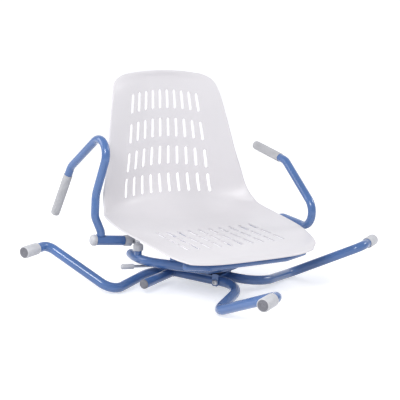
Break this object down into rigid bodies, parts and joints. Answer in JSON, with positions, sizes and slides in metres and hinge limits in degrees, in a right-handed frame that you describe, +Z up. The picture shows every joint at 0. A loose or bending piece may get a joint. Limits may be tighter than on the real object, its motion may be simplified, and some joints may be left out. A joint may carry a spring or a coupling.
{
  "type": "swivel bath seat",
  "caption": "Bath seat with a slotted moulded shell and lifting arm rests, turning on a bent-tube base that lies across the bath rims.",
  "frame": {"origin": "on the swivel axis, at the level of the top of the bath's rims, which the undersides of the feet touch", "axes": "+Z up along the swivel axis, X along the bath, Y across the bath; at rest the seat is turned 60 degrees about +Z from facing -Y"},
  "size_m": [0.8255, 0.698, 0.5444],
  "materials": {
    "blue_paint": "gloss",
    "white_shell": "satin gloss",
    "white_plastic": "satin",
    "grip_plastic": "matte, fluted",
    "grey_plastic": "matte",
    "bearing_plastic": "matte",
    "zinc_steel": "zinc plated"
  },
  "bodies": {
    "base": {"base_tube_near": "blue_paint", "base_tube_far": "blue_paint", "foot_near_left": "white_plastic", "foot_near_right": "white_plastic", "foot_far_right": "white_plastic", "foot_far_left": "white_plastic", "foot_plug_near_left": "grey_plastic", "foot_plug_near_right": "grey_plastic", "foot_plug_far_right": "grey_plastic", "foot_plug_far_left": "grey_plastic", "side_stop_tube": "blue_paint", "side_stop_plug": "grey_plastic", "hub_base_plate": "blue_paint", "bearing_ring_lower": "bearing_plastic", "pivot_bolt": "zinc_steel", "pivot_washer": "zinc_steel", "pivot_nut": "zinc_steel", "index_bracket": "blue_paint", "index_bracket_bolt": "zinc_steel"},
    "seat": {"swivel_plate": "blue_paint", "bearing_ring_upper": "bearing_plastic", "seat_frame_tube": "blue_paint", "frame_plug_left": "white_plastic", "frame_plug_right": "white_plastic", "seat_shell": "white_shell", "rear_spacer_left": "blue_paint", "rear_spacer_right": "blue_paint", "front_spacer_left": "blue_paint", "front_spacer_right": "blue_paint", "front_strut_left": "blue_paint", "front_strut_right": "blue_paint", "front_bar": "blue_paint", "arm_collar_left": "white_plastic", "arm_collar_right": "white_plastic", "arm_axle_left": "zinc_steel", "arm_axle_right": "zinc_steel", "arm_post_left": "blue_paint", "arm_post_right": "blue_paint", "arm_post_cap_left": "white_plastic", "arm_post_cap_right": "white_plastic", "lever_pin": "zinc_steel"},
    "arm_left": {"arm_tube_left": "blue_paint", "arm_grip_left": "grip_plastic", "arm_cap_left": "white_plastic"},
    "arm_right": {"arm_tube_right": "blue_paint", "arm_grip_right": "grip_plastic", "arm_cap_right": "white_plastic"},
    "lock_lever": {"lock_lever_rod": "zinc_steel", "lock_lever_tip": "white_plastic"}
  },
  "joints": [
    {"name": "seat_swivel", "type": "hinge", "parent": "base", "child": "seat", "pos_m": [0, 0, -0.0423], "axis": [0, 0, 1], "continuous": true},
    {"name": "arm_left_lift", "type": "hinge", "parent": "seat", "child": "arm_left", "pos_m": [-0.0079, 0.28631, 0.0164], "axis": [-0.4973, -0.8613, -0.1045], "range_deg": [0, 73.5]},
    {"name": "arm_right_lift", "type": "hinge", "parent": "seat", "child": "arm_right", "pos_m": [-0.2519, -0.13631, 0.0164], "axis": [-0.4973, -0.8613, 0.1045], "range_deg": [-73.5, 0]},
    {"name": "lock_lever_pull", "type": "hinge", "parent": "seat", "child": "lock_lever", "pos_m": [-0.09816, -0.03801, -0.0468], "axis": [0, 0, 1], "range_deg": [0, 15], "stiffness_Nm_per_rad": 0.6}
  ]
}
